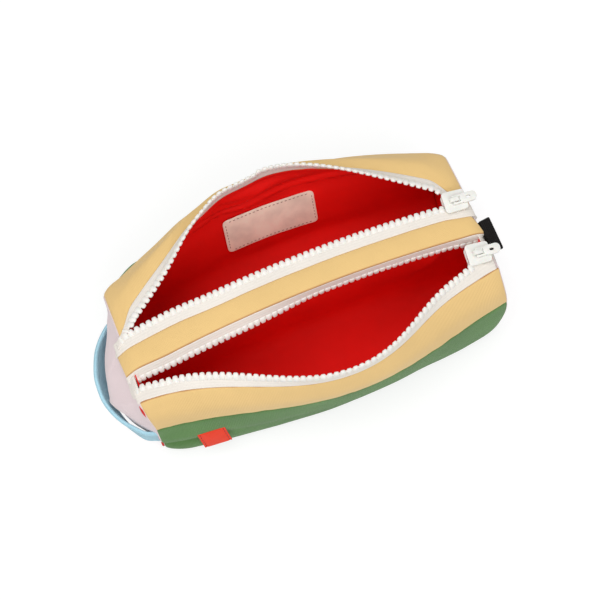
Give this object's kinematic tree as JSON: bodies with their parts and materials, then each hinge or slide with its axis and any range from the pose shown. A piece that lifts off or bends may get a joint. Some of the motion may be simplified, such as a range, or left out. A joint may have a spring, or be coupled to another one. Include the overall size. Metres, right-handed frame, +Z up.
{
  "type": "pencil case",
  "caption": "Soft pencil case with two zipped compartments either side of a middle strip, a webbing loop at one end and a pull tab at the other.",
  "frame": {"origin": "middle of the whole case's box, at the level of the base it rests on", "axes": "+X from the webbing loop towards the pull tab, +Y from the tagged front wall to the back, +Z up"},
  "size_m": [0.24, 0.134, 0.0808],
  "materials": {
    "green_canvas": "woven canvas, matt",
    "tan_canvas": "woven canvas, matt",
    "pink_canvas": "woven canvas, matt",
    "red_piping": "woven binding, matt",
    "blue_webbing": "woven webbing, matt",
    "black_webbing": "woven webbing, matt",
    "red_tag": "folded woven tag, matt",
    "pale_leather": "smooth, low sheen",
    "white_plastic": "moulded, soft gloss",
    "zip_tape": "woven tape, matt",
    "zip_teeth": "moulded, soft gloss",
    "red_lining": "thin woven lining, slight sheen"
  },
  "bodies": {
    "case": {"back_band": "tan_canvas", "back_inner_tape": "zip_tape", "back_inner_teeth": "zip_teeth", "back_lining": "red_lining", "back_outer_tape": "zip_tape", "back_outer_teeth": "zip_teeth", "back_wall": "green_canvas", "base_lining": "red_lining", "base_panel": "green_canvas", "divider": "red_lining", "end_stops": "white_plastic", "end_tab": "black_webbing", "front_band": "tan_canvas", "front_inner_tape": "zip_tape", "front_inner_teeth": "zip_teeth", "front_lining": "red_lining", "front_outer_tape": "zip_tape", "front_outer_teeth": "zip_teeth", "front_wall": "green_canvas", "left_end_lining": "red_lining", "left_end_panel": "pink_canvas", "left_piping": "red_piping", "middle_strip": "tan_canvas", "name_patch": "pale_leather", "right_end_lining": "red_lining", "right_end_panel": "pink_canvas", "right_piping": "red_piping", "side_tag": "red_tag", "strap_ends": "blue_webbing"},
    "strap": {"handle_strap": "blue_webbing"},
    "back_slider": {"back_slider": "white_plastic"},
    "front_slider": {"front_slider": "white_plastic"},
    "back_puller": {"back_puller": "white_plastic"},
    "front_puller": {"front_puller": "white_plastic"}
  },
  "joints": [
    {"name": "back_zip", "type": "hinge", "parent": "case", "child": "back_slider", "pos_m": [0.02124, -0.78842, 0.071], "axis": [0, 0, 1], "range_deg": [0, 12.6]},
    {"name": "front_zip", "type": "hinge", "parent": "case", "child": "front_slider", "pos_m": [0.01724, -0.82042, 0.0693], "axis": [0, 0, 1], "range_deg": [0, 11.6]},
    {"name": "back_pull", "type": "hinge", "parent": "back_slider", "child": "back_puller", "pos_m": [0.10135, 0.00756, 0.0751], "axis": [-0.1013, -0.9949, 0], "range_deg": [0, 165]},
    {"name": "front_pull", "type": "hinge", "parent": "front_slider", "child": "front_puller", "pos_m": [0.10135, -0.02485, 0.0734], "axis": [-0.1063, -0.9943, 0], "range_deg": [0, 165]},
    {"name": "strap_swing", "type": "hinge", "parent": "case", "child": "strap", "pos_m": [-0.10416, -0.00842, 0.0265], "axis": [0, 1, 0], "range_deg": [-25, 35], "stiffness_Nm_per_rad": 0.02}
  ]
}
